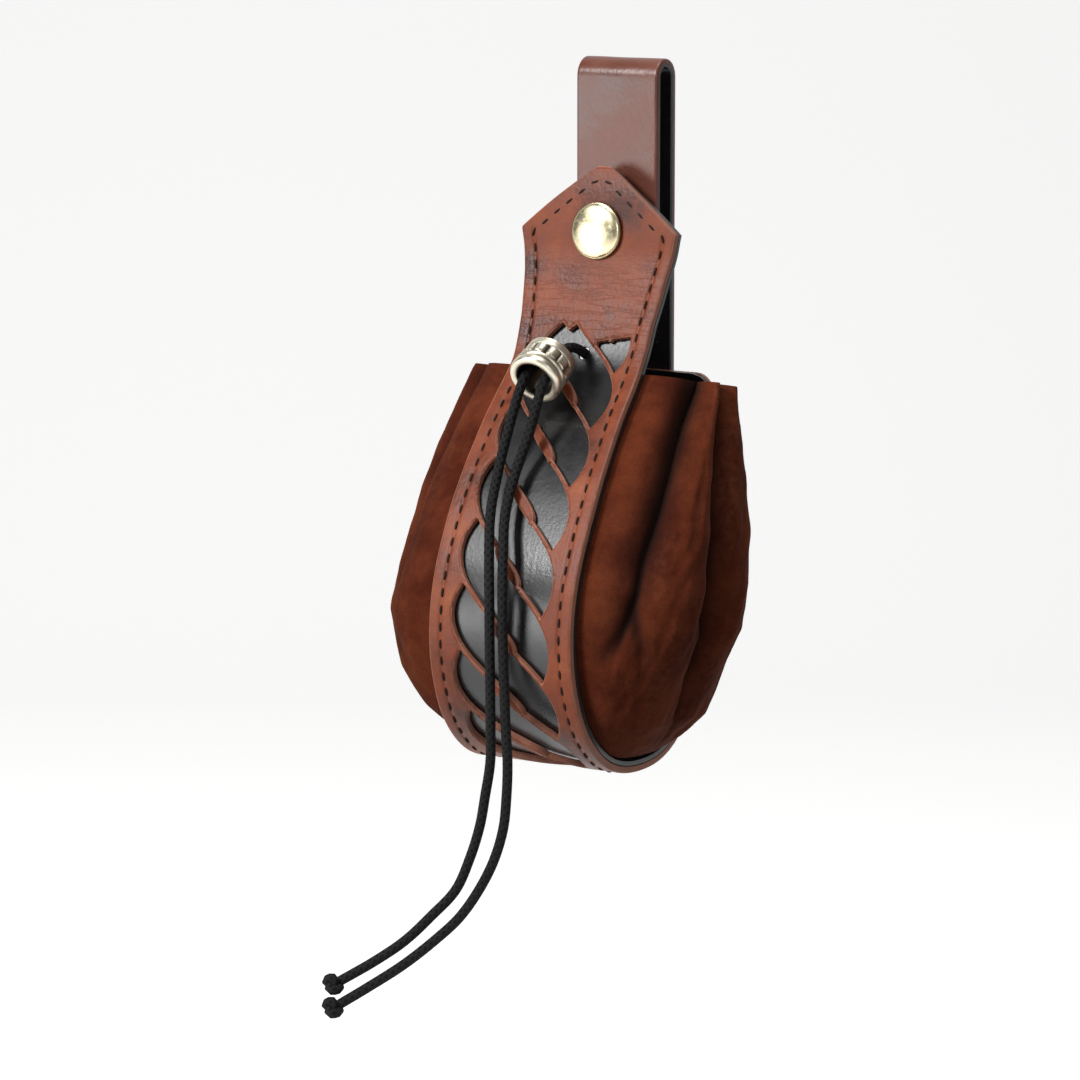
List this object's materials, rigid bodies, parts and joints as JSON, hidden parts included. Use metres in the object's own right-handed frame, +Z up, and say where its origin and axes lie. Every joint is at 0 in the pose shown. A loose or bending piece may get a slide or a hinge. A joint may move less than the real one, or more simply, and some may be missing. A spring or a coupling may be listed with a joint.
{
  "type": "medieval belt pouch",
  "caption": "Drawstring belt pouch: pierced leather band with snap head and belt loop, two gathered suede sides, cords with a metal bead.",
  "frame": {"origin": "centre of the channel between the two legs of the loop strap, where the belt passes", "axes": "+Z up, -Y the pouch's front (away from the wearer), +X to the right of someone who looks at the front"},
  "size_m": [0.1083, 0.1109, 0.2797],
  "materials": {
    "leather_brown": "smooth waxed brown leather with fine creases",
    "leather_black": "smooth black leather with a soft gloss",
    "suede": "matte reddish brown suede, lighter on the worn crests",
    "leather_strap": "smooth brown leather with a grey sheen, black on the reverse",
    "brass": "polished pale brass",
    "pale_metal": "pale antique metal with dark recesses",
    "cord_black": "black braided cord"
  },
  "bodies": {
    "root": {"band": "leather_brown", "band_lining": "leather_black", "side_left": "suede", "side_right": "suede", "loop_strap": "leather_strap", "snap_cap": "brass", "snap_stud": "brass", "cord_bead": "pale_metal", "drawcord": "cord_black", "cord_left": "cord_black", "knot_left": "cord_black", "cord_right": "cord_black", "knot_right": "cord_black"}
  },
  "joints": []
}
